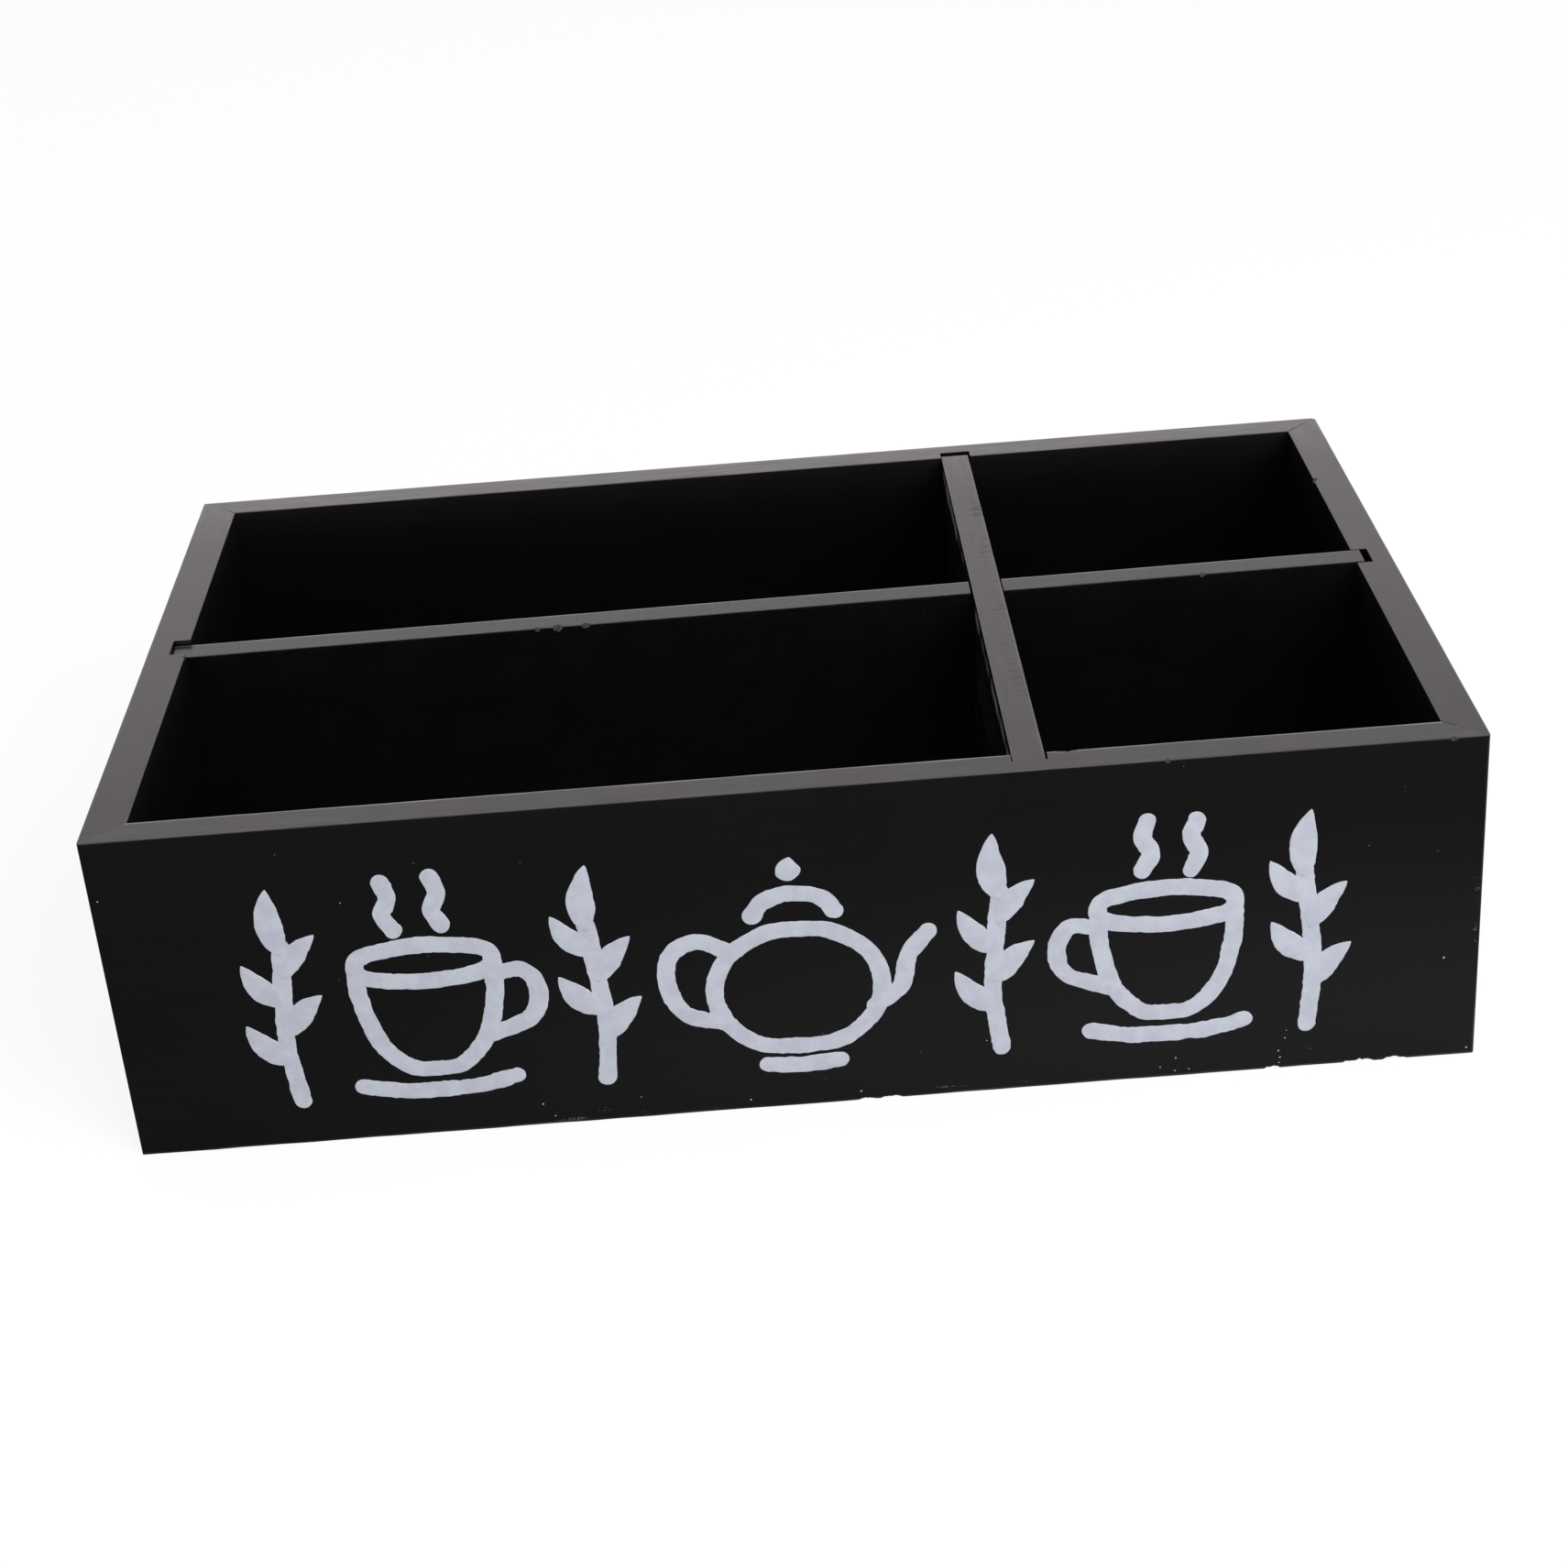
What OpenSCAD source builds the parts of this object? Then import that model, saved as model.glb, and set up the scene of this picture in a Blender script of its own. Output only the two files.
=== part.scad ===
// Tea bag organizer: a mitred wooden box with two lift-out dividers that cross.
// Origin at the middle of the box on the table, +X to the right, +Y to the back, +Z up.

/* [Box] */
// Outside length of the box, left to right
box_l = 300; // [240:1:380]
// Outside width of the box, front to back
box_w = 187.5; // [150:0.5:240]
// Height of the box, from the table to the rim
box_h = 80.5; // [60:0.5:120]
// Thickness of the four walls
wall_t = 8.5; // [7:0.1:12]
// Radius of the box's outer upright corners
corner_r = 0.8; // [0.6:0.1:2.5]
// Width of the small bevel that eases every long edge of a wall
wall_ease = 0.4; // [0.2:0.1:0.8]

/* [Bottom] */
// Thickness of the bottom panel
bottom_t = 3; // [2:0.1:5]
// Height of the bottom panel's underside above the table
bottom_lift = 5; // [3:0.5:10]
// Depth of the grooves in the walls that hold the bottom panel
groove_d = 4; // [2:0.1:5]
// Play between an edge of the bottom panel and the end of its groove
groove_play = 0.3; // [0.1:0.05:0.8]

/* [Dividers] */
// Thickness of both dividers
divider_t = 7; // [5:0.1:9]
// Middle of the long divider, measured from the box's front face
long_from_front = 96.2; // [70:0.1:115]
// Middle of the cross divider, measured from the box's left face
cross_from_left = 202.4; // [120:0.1:215]
// How far the top edges of the dividers lie below the rim
divider_drop = 0.3; // [0.1:0.1:3]
// Width of the small bevel that eases the dividers' edges
divider_ease = 0.4; // [0.2:0.1:0.8]

/* [Slots and notches] */
// Depth of the slots in the walls that hold the dividers' ends
slot_d = 3.8; // [3:0.1:5]
// Play between a divider and each side of its slot
slot_play = 0.4; // [0.2:0.05:0.8]
// Gap between a divider's end and the end of the slot that it is pushed home in
home_gap = 0.3; // [0.1:0.05:0.6]
// Gap between the long divider's right end and the end of its slot
long_end_gap = 1.7; // [0.3:0.1:2]
// Gap between the cross divider's back end and the end of its slot
cross_end_gap = 1.6; // [0.3:0.1:2.5]
// Play between a divider and each side of the notch that it crosses in
notch_play = 0.5; // [0.2:0.05:1]
// Gap between the ends of the two notches, one above the other
notch_gap = 0.4; // [0.2:0.05:1]

/* [Brads] */
// Number of brads in each corner
brad_count = 3; // [2:1:5]
// Diameter of a brad
brad_d = 1.2; // [0.8:0.1:1.6]
// Length of a brad
brad_l = 18; // [14:1:25]
// How far a brad's head is set below the side wall's outer face
brad_set = 1.2; // [0.8:0.1:2]
// Play round a brad in its hole
brad_play = 0.05; // [0.02:0.01:0.1]
// Height of the lowest brad above the bottom panel, and of the rim above the highest brad
brad_margin = 9; // [5:0.5:15]

/* [Hidden] */
// Overrun that carries every cut clear of the surface that it opens through
overrun = 1;
// Smoothness of the round corners and of the brads
$fn = 48;

// Top of the bottom panel, which the dividers stand on
floor_z = bottom_lift + bottom_t;
// Middle of the long divider, and of the slots in the left and right walls
long_y = long_from_front - box_w/2;
// Middle of the cross divider, and of the slots in the front and back walls
cross_x = cross_from_left - box_l/2;
// Width of the walls' slots, and of the dividers' notches
slot_w = divider_t + 2*slot_play;
notch_w = divider_t + 2*notch_play;
// Reach of the slots: their ends, from the box's middle
slot_end_x = box_l/2 - wall_t + slot_d;
slot_end_y = box_w/2 - wall_t + slot_d;
// Where the dividers end
long_left = -slot_end_x + home_gap;
long_right = slot_end_x - long_end_gap;
cross_front = -slot_end_y + home_gap;
cross_back = slot_end_y - cross_end_gap;
// Top edge of the dividers, and the height at which their notches meet
divider_top = box_h - divider_drop;
lap_z = (floor_z + divider_top)/2;
// Height of the lowest brad and of the highest
brad_low = floor_z + brad_margin;
brad_high = box_h - brad_margin;
// Size of the bottom panel
bottom_l = box_l - 2*wall_t + 2*(groove_d - groove_play);
bottom_w = box_w - 2*wall_t + 2*(groove_d - groove_play);

// Colours of the black paint, of the thin bottom board and of the steel
paint = [0.06, 0.06, 0.06];
board = [0.09, 0.085, 0.08];
steel = [0.62, 0.62, 0.64];

// A rectangle from the origin to w and h, with its corners cut off by a bevel
module eased_rectangle(w, h, ease) {
    polygon([
        [ease, 0], [w - ease, 0],
        [w, ease], [w, h - ease],
        [w - ease, h], [ease, h],
        [0, h - ease], [0, ease]
    ]);
}

// A board's section, swept along X: the section's width runs in Y, its height in Z
module sweep_along_x(from_x, to_x) {
    translate([from_x, 0, 0])
        rotate([90, 0, 90])
            linear_extrude(to_x - from_x)
                children();
}

// Outline of the whole box seen from above, with its upright corners rounded
module box_outline() {
    square([box_l - 2*corner_r, box_w], center = true);
    square([box_l, box_w - 2*corner_r], center = true);
    for (side = [-1, 1], end = [-1, 1])
        translate([side*(box_l/2 - corner_r), end*(box_w/2 - corner_r)])
            circle(r = corner_r);
}

// Section of a wall: outer face at 0, inner face at wall_t, with the bottom panel's groove
module wall_section() {
    difference() {
        eased_rectangle(wall_t, box_h, wall_ease);
        translate([wall_t - groove_d, bottom_lift])
            square([groove_d + overrun, bottom_t]);
    }
}

// A wall of a given length along X, outer face towards -Y, with mitred ends and
// one slot for a divider. The slot's middle lies at slot_at from the wall's middle.
module mitred_wall(length, slot_at) {
    half = length/2;
    difference() {
        intersection() {
            sweep_along_x(-half, half)
                wall_section();
            linear_extrude(box_h)
                polygon([
                    [-half, 0], [half, 0],
                    [half - wall_t, wall_t], [wall_t - half, wall_t]
                ]);
        }
        translate([slot_at - slot_w/2, wall_t - slot_d, -overrun])
            cube([slot_w, slot_d + overrun, box_h + 2*overrun]);
    }
}

// Puts a wall on one of the four sides: turn is 0 front, 90 right, 180 back, 270 left
module on_side(turn, distance) {
    intersection() {
        rotate([0, 0, turn])
            translate([0, -distance, 0])
                children();
        linear_extrude(box_h)
            box_outline();
    }
}

// Heights of the brads in a corner, evenly spaced
function brad_heights() =
    [for (i = [0:brad_count - 1]) brad_low + i*(brad_high - brad_low)/(brad_count - 1)];

// The brads of one corner. They are driven through the side wall's face and run
// along the middle of the front or back wall. Play is added all round for their holes.
module corner_brads(side, end, play) {
    for (z = brad_heights())
        translate([side*(box_l/2 - brad_set + play), end*(box_w/2 - wall_t/2), z])
            rotate([0, -side*90, 0])
                cylinder(d = brad_d + 2*play, h = brad_l + 2*play);
}

module all_brad_holes() {
    for (side = [-1, 1], end = [-1, 1])
        corner_brads(side, end, brad_play);
}

// A divider's board of a given length along X, standing on the bottom panel
module divider_board(from_x, to_x) {
    sweep_along_x(from_x, to_x)
        translate([-divider_t/2, floor_z])
            eased_rectangle(divider_t, divider_top - floor_z, divider_ease);
}

module front_wall() {
    color(paint)
        difference() {
            on_side(0, box_w/2)
                mitred_wall(box_l, cross_x);
            all_brad_holes();
        }
}

module back_wall() {
    color(paint)
        difference() {
            on_side(180, box_w/2)
                mitred_wall(box_l, -cross_x);
            all_brad_holes();
        }
}

module left_wall() {
    color(paint)
        difference() {
            on_side(270, box_l/2)
                mitred_wall(box_w, -long_y);
            all_brad_holes();
        }
}

module right_wall() {
    color(paint)
        difference() {
            on_side(90, box_l/2)
                mitred_wall(box_w, long_y);
            all_brad_holes();
        }
}

// Loose in its grooves, as such panels are, so that it can swell
module bottom_panel() {
    color(board)
        translate([-bottom_l/2, -bottom_w/2, bottom_lift])
            cube([bottom_l, bottom_w, bottom_t]);
}

// Its notch opens upwards and takes the cross divider
module long_divider() {
    color(paint)
        difference() {
            translate([0, long_y, 0])
                divider_board(long_left, long_right);
            translate([cross_x - notch_w/2, long_y - divider_t/2 - overrun, lap_z - notch_gap/2])
                cube([notch_w, divider_t + 2*overrun, divider_top - lap_z + notch_gap/2 + overrun]);
        }
}

// Its notch opens downwards and drops over the long divider
module cross_divider() {
    color(paint)
        difference() {
            translate([cross_x, 0, 0])
                rotate([0, 0, 90])
                    divider_board(cross_front, cross_back);
            translate([cross_x - divider_t/2 - overrun, long_y - notch_w/2, floor_z - overrun])
                cube([divider_t + 2*overrun, notch_w, lap_z - floor_z + notch_gap/2 + overrun]);
        }
}

module front_left_brads() {
    color(steel) corner_brads(-1, -1, 0);
}

module front_right_brads() {
    color(steel) corner_brads(1, -1, 0);
}

module back_left_brads() {
    color(steel) corner_brads(-1, 1, 0);
}

module back_right_brads() {
    color(steel) corner_brads(1, 1, 0);
}

front_wall();
back_wall();
left_wall();
right_wall();
bottom_panel();
long_divider();
cross_divider();
front_left_brads();
front_right_brads();
back_left_brads();
back_right_brads();
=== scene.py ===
import bmesh
import bpy
import numpy as np
from mathutils import Matrix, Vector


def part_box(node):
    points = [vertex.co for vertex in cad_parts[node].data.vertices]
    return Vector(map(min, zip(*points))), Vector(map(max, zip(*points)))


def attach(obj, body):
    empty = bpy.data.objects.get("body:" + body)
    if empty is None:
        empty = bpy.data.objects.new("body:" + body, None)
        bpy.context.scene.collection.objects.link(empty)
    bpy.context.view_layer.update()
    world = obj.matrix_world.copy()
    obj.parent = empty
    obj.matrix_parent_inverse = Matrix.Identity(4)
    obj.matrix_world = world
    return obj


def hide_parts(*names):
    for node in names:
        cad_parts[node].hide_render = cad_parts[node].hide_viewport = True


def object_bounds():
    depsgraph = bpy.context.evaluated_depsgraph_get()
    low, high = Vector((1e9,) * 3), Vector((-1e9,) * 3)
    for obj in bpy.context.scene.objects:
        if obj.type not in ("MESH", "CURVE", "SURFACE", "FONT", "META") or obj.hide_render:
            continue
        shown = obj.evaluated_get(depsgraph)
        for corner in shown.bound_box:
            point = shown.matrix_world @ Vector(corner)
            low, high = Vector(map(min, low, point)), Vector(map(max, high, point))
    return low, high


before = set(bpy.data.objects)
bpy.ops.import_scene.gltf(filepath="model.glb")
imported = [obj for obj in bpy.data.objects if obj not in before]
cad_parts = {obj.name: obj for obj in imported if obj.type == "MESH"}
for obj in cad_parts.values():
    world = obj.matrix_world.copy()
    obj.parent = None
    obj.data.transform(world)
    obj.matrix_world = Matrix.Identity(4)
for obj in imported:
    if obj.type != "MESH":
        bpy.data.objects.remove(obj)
cadLow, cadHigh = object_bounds()
mm = 0.001  # every length below is in millimetres, and a mesh is scaled by this when it is made


# Camera at the photograph's place, worked out from the box's edges
photoCamera = {
    "place": (1.447, -622.975, 365.471),  # from the middle of the box's footprint
    "turn": 0.126,  # degrees
    "pitch": -28.184,
    "roll": -4.482,
    "lens": 65.312,
    "sensor": 36,
    "nearest": 10,
    "farthest": 30000,
}


def addCamera(values):
    data = bpy.data.cameras.new("photoCamera")
    data.lens = values["lens"]
    data.sensor_width = values["sensor"]
    data.clip_start = values["nearest"]*mm
    data.clip_end = values["farthest"]*mm
    camera = bpy.data.objects.new("photoCamera", data)
    bpy.context.scene.collection.objects.link(camera)
    turn = Matrix.Rotation(np.radians(values["turn"]), 4, "Z")
    pitch = Matrix.Rotation(np.radians(90 + values["pitch"]), 4, "X")
    roll = Matrix.Rotation(np.radians(values["roll"]), 4, "Z")
    place = Matrix.Translation([c*mm for c in values["place"]])
    camera.matrix_world = place @ turn @ pitch @ roll
    bpy.context.scene.camera = camera


addCamera(photoCamera)
print("camera placed")


# Sizes that the boards share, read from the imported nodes
def extents(node):
    low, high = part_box(node)
    return np.array(low)/mm, np.array(high)/mm


boxLow, boxHigh = np.array(cadLow)/mm, np.array(cadHigh)/mm
frontLow, frontHigh = extents("front_wall")
panelLow, panelHigh = extents("bottom_panel")
longLow, longHigh = extents("long_divider")
crossLow, crossHigh = extents("cross_divider")

fits = {
    "slotPlay": 0.4,  # between a divider and each side of its slot
    "homeGap": 0.3,  # between a divider's end and the slot's end that it is pushed against
    "groovePlay": 0.3,  # between the bottom panel's edge and the end of its groove
    "notchPlay": 0.5,  # between a divider and each side of the notch it crosses in
    "notchGap": 0.4,  # between the ends of the two notches
}

wallThick = frontHigh[1] - frontLow[1]
dividerThick = longHigh[1] - longLow[1]
rimHeight = boxHigh[2]
slotFloor = longLow[0] - fits["homeGap"] - boxLow[0]  # wood left behind a slot
grooveFloor = panelLow[0] - fits["groovePlay"] - boxLow[0]  # wood left behind the groove
slotHalf = dividerThick/2 + fits["slotPlay"]
notchHalf = dividerThick/2 + fits["notchPlay"]
lapHeight = (longLow[2] + longHigh[2])/2
longMiddle = (longLow[1] + longHigh[1])/2
crossMiddle = (crossLow[0] + crossHigh[0])/2


# Random values from -1 to 1 every step, joined by smooth curves
def waver(along, step, seed):
    length = 4096  # of the table, whose middle belongs to place 0
    table = np.random.default_rng(seed).uniform(-1, 1, length)
    place = np.asarray(along)/step + length/2
    cell = np.floor(place).astype(int)
    share = place - cell
    share = share*share*(3 - 2*share)
    return table[cell % length]*(1 - share) + table[(cell + 1) % length]*share


# How finely every board is divided
division = {
    "arcSteps": 5,  # facets round an edge
    "nearEdge": (0.72, 0.9, 1.1, 1.3, 1.55, 1.9, 2.6),  # rows of points beside an edge
    "across": 6.0,  # widest row elsewhere
    "markRoom": 0.12,  # no other row comes nearer to a marked one
    "grooveRoom": 0.1,  # nor to the bottom panel's groove
    "along": 1.5,  # widest station
    "fine": 0.16,  # stations at chips, at cuts and near the ends
    "fineRoom": 0.05,  # a fine station keeps this far from a stretch's end
    "beyondChip": 0.5,
    "besideCut": 0.8,
    "weld": 0.002,
    "same": 1e-6,  # points nearer than this are one place
    "smoothBelow": 32,  # degrees between two faces that are shaded as one surface
}


# Distances of the points along one side of a section, with the marks kept exactly
def sideSteps(length, marks):
    near = np.array(division["nearEdge"])
    count = int(np.ceil((length - 2*near[-1])/division["across"])) + 1
    steps = np.concatenate([near, length - near, np.linspace(near[-1], length - near[-1], max(count, 2))])
    for mark in marks:
        steps = steps[np.abs(steps - mark) > division["markRoom"]]
    return np.unique(np.round(np.concatenate([steps, marks]), 4))


# How far wear and its like reach over a board
boardMasks = {
    "worn": (0.5, 1.9),  # an edge's wear is whole up to the first distance and gone the second further
    "byCut": 0.8,  # wear at the corners of a slot or notch
    "byCutAlong": 1.2,
    "byCutDown": 3,
    "cornerAlong": 1.3,  # bare wood beside a mitred corner's upright edge
    "cornerIn": 0.8,
    "cornerLevel": 0.75,
    "cornerWaver": (0.35, 9),  # how much, every how many millimetres
    "outer": 1.2,  # scuffs lie on the outer face, to this depth
    "tickDown": 0.4,
    "tickSoft": 0.3,  # the ticks fade over this share of the thickness
    "tickFade": 22,  # and over this length at their ends
    "lighterNearRimDepth": 6,  # the lighter colour of the inner faces beside the rim falls off over this depth
    "skin": 0.02,
    "rim": 0.03,
}


# One turn round a board's section, anticlockwise from its lower outer edge. A point is a fixed
# place plus an offset that grows with the roundness of its own edge. Columns of the table: width,
# height, the two offsets, the number of the edge, how much of that edge's wear it takes, and how much
# pale rubbed paint and painted highlight the edge gets.
def sectionRing(board):
    thick, low, high = board["thick"], board["low"], board["high"]
    corners = [(0, low), (thick, low), (thick, high), (0, high)]
    inwards = [(1, 1), (-1, 1), (-1, -1), (1, -1)]
    rows = []
    for edge in range(4):
        corner = np.array(corners[edge], float)
        following = np.array(corners[(edge + 1) % 4], float)
        angle = np.radians(180 + 90*edge + np.linspace(0, 90, division["arcSteps"] + 1))
        arc = np.zeros((len(angle), 7))
        arc[:, 0:2] = corner
        arc[:, 2] = inwards[edge][0] + np.cos(angle)
        arc[:, 3] = inwards[edge][1] + np.sin(angle)
        arc[:, 4] = edge
        arc[:, 5] = board["edgeWear"][edge]
        arc[:, 6] = board["edgePale"][edge]
        rows.append(arc)
        length = np.linalg.norm(following - corner)
        heading = (following - corner)/length
        marks = np.array(board["marks"][edge], float)
        distance = sideSteps(length, marks)
        side = np.zeros((len(distance), 7))
        side[:, 0:2] = corner + distance[:, None]*heading
        fromEdge = np.minimum(distance, length - distance)
        side[:, 4] = np.where(distance < length/2, edge, (edge + 1) % 4)
        wear = np.array(board["edgeWear"])[side[:, 4].astype(int)]
        wornFrom, wornReach = boardMasks["worn"]
        side[:, 5] = wear*np.clip(1 - (fromEdge - wornFrom)/wornReach, 0, 1)
        if board.get("groove") and edge == 1:  # the groove breaks the inner face
            grooveLow, grooveHigh, floor = board["groove"]
            below = side[side[:, 1] < grooveLow - division["grooveRoom"]]
            above = side[side[:, 1] > grooveHigh + division["grooveRoom"]]
            turnsBack = np.zeros((4, 7))
            turnsBack[:, 0] = [thick, floor, floor, thick]
            turnsBack[:, 1] = [grooveLow, grooveLow, grooveHigh, grooveHigh]
            side = np.concatenate([below, turnsBack, above])
        rows.append(side)
    return np.concatenate(rows)


# Stations from one place to another, close together round the places where detail is fine
def stations(start, end, fine):
    count = int(np.ceil((end - start)/division["along"])) + 1
    parts = [np.linspace(start, end, count)]
    for place, reach in fine:
        close = np.arange(place - reach, place + reach, division["fine"])
        inside = (close > start + division["fineRoom"]) & (close < end - division["fineRoom"])
        parts.append(close[inside])
    return np.unique(np.round(np.concatenate(parts), 3))


chipForm = {
    "ragged": (0.35, 0.5),  # how much the floor of a chip wavers, every how many millimetres
    "swell": 0.55,  # the lower, the steeper a chip's two ends
    "bareFrom": 0.25,  # depth at which the paint is gone
    "lean": 0.5,  # share of the cut that goes into the width, the rest goes into the height
}


# Chips: a slanting cut takes the corner off to a depth that rises and falls along the chip, with
# a ragged floor. Returns the moved widths and heights, and how bare of paint each point is.
def chipEdges(board, along, width, height):
    low, high, thick = board["low"], board["high"], board["thick"]
    corners = {0: (0, low, 1, 1), 2: (thick, high, -1, -1), 3: (0, high, 1, -1)}
    bare = np.zeros_like(width)
    amount, step = chipForm["ragged"]
    for number, chip in enumerate(board["chips"]):
        cornerW, cornerH, inW, inH = corners[chip["edge"]]
        share = np.clip(1 - ((along - chip["at"])/(chip["length"]/2))**2, 0, 1)
        ragged = 1 + amount*waver(along, step, board["seed"] + 31*number)
        depth = (chip["depth"]*share**chipForm["swell"]*ragged)[:, None]
        inside = np.abs(width - cornerW) + np.abs(height - cornerH)
        cut = np.clip(depth - inside, 0, None)
        lean = chip.get("lean", chipForm["lean"])
        width = width + inW*cut*lean
        height = height + inH*cut*(1 - lean)
        bare = np.maximum(bare, np.clip(cut/chipForm["bareFrom"], 0, 1)*chip["bare"])
    return width, height, bare


seamForm = {
    "opens": 0.25,  # share of the thickness over which the groove down a joint opens
    "halfWidth": 0.1,
    "down": 1.2,  # only points this near the rim are drawn down
}


# A mitred end: the last stretch is drawn in so that it ends on the plane from the box's outer corner
# to its inner one, and the outer upright corner is rounded. The plane leaves the rounding at a width
# of r (s + 1 - sqrt(2 s)) / (s^2 + 1), where s is the next wall's thickness over this one's. A fine
# groove may run down the joint's top edge from the inside.
def mitreEnds(board, along, width, height):
    half, zone, thick = board["half"], board["endZone"], board["thick"]
    place = np.repeat(along[:, None], width.shape[1], axis=1)
    for side, end, meets in zip((-1, 1), board["joints"], board["meets"]):
        radius = end["radius"]
        slope = meets/thick
        least = radius*(slope + 1 - np.sqrt(2*slope))/(slope**2 + 1)
        here = side*place > half - zone
        reach = half - slope*np.maximum(width, least)
        share = (side*place - (half - zone))/zone
        drawn = half - zone + share*(reach - (half - zone))
        place = np.where(here, side*drawn, place)
        past = np.clip(side*place - (half - radius), 0, radius)
        rounded = radius - np.sqrt(radius**2 - past**2)
        width = np.where(here, np.maximum(width, rounded), width)
        toJoint = np.where(here, (reach - drawn)*np.sqrt(0.5), zone)
        opened = np.clip((width/thick - end["seamFrom"])/seamForm["opens"], 0, 1)
        sunk = end["seam"]*opened*np.exp(-(toJoint/seamForm["halfWidth"])**2)
        height = np.where(height > board["high"] - seamForm["down"], height - sunk, height)
    return place, width, height


# A square end: over the last fraction of a millimetre the section shrinks along a quarter circle
def squareEnds(board, along, width, height):
    radius = board["endRound"]
    past = np.clip(np.abs(along - board["centre"]) - (board["half"] - radius), 0, radius)
    inset = (radius - np.sqrt(radius**2 - past**2))[:, None]
    width = np.clip(width, inset, board["thick"] - inset)
    height = np.clip(height, board["low"] + inset, board["high"] - inset)
    return np.repeat(along[:, None], width.shape[1], axis=1), width, height


# The section carried along one stretch of a board: points by station and ring point, with their masks
def boardStretch(board, ring, along, inCut):
    edges = ring[:, 4].astype(int)
    amount, step = board["roundWaver"]
    wavers = [1 + amount*waver(along, step, board["seed"] + edge) for edge in range(4)]
    radius = (np.array(board["round"])*np.stack(wavers, axis=1))[:, edges]
    width = ring[:, 0] + radius*ring[:, 2]
    height = ring[:, 1] + radius*ring[:, 3]
    width, height, chipped = chipEdges(board, along, width, height)
    wholeWidth, wholeHeight = width, height
    if inCut:
        width, height = board["cut"](width, height)
    sawn = (width != wholeWidth) | (height != wholeHeight)
    # how much pale rubbed paint and painted edge highlight each point gets
    pale = ring[:, 6]*((edges < 2) | (height > board["high"] - boardMasks["skin"]))
    place, width, height = board["endShape"](board, along, width, height)
    nearCut = np.min([np.abs(along - cutEnd) for cutEnd in board["cutEnds"]], axis=0)
    byCut = np.clip(1 - nearCut/boardMasks["byCutAlong"], 0, 1)[:, None]
    byCut = byCut*(height > board["high"] - boardMasks["byCutDown"])
    worn = np.maximum(ring[:, 5], boardMasks["byCut"]*byCut)
    fromEnd = board["half"] - np.abs(place - board["centre"])
    corner = np.clip(1 - fromEnd/boardMasks["cornerAlong"], 0, 1)*(width < boardMasks["cornerIn"])
    amount, step = boardMasks["cornerWaver"]
    uneven = boardMasks["cornerLevel"] + amount*waver(height, step, board["seed"] + 7)
    bare = np.maximum(chipped, corner*uneven*np.where(place < 0, *board["cornerBare"]))
    masks = {"sawn": sawn, "pale": pale, "worn": worn, "bare": bare}
    return np.stack([place, width, height], axis=2), masks


# Soft ovals on a face, each with its place along, its height, its two reaches and its strength
def ovals(points, marks, onFace):
    held = np.zeros(len(points))
    for place, level, reachS, reachH, strength in marks:
        spread = ((points[:, 0] - place)/reachS)**2 + ((points[:, 2] - level)/reachH)**2
        held = np.maximum(held, strength*np.exp(-spread)*onFace)
    return held


# The masks that follow from where a point lies on its board
def faceMasks(board, points):
    along, width, height = points.T
    onInner = width > board["thick"] - boardMasks["skin"]
    ticked = (board["tickFrom"] - width/board["thick"])/boardMasks["tickSoft"]
    ticked = np.clip(ticked, board["tickFaint"], 1)*(height > board["high"] - boardMasks["tickDown"])
    # lighter colour on the inner faces next to the rim, falling off downwards
    faded = board["faded"]*np.exp((height - board["high"])/boardMasks["lighterNearRimDepth"])
    return {
        "ticked": ticked*np.clip((board["tickReach"] - np.abs(along))/boardMasks["tickFade"], 0, 1),
        "scuffed": ovals(points, board["scuffs"], width < boardMasks["outer"]),
        "rubbedAndSheen": ovals(points, board["rubs"], onInner),
        "faded": faded*onInner,
        "top": height > board["high"] - boardMasks["rim"],
    }


# The two faces of a cut, each between a full section and the cut one beside it, and the board's ends
def flatFaces(rows, points):
    count = rows[0].shape[1]
    polygons = []
    for whole, sunk, facing in ((rows[0][-1], rows[1][0], 1), (rows[2][0], rows[1][-1], -1)):
        moved = np.abs(points[whole] - points[sunk]).max(axis=1) > division["same"]
        firstMoved = np.flatnonzero(moved & ~np.roll(moved, 1))[0]
        order = (firstMoved - 1 + np.arange(moved.sum() + 2)) % count
        polygon = np.concatenate([whole[order], sunk[order][-2:0:-1]])
        polygons.append(polygon[::facing].tolist())
    return [*polygons, rows[2][-1].tolist(), rows[0][0][::-1].tolist()]


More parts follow.
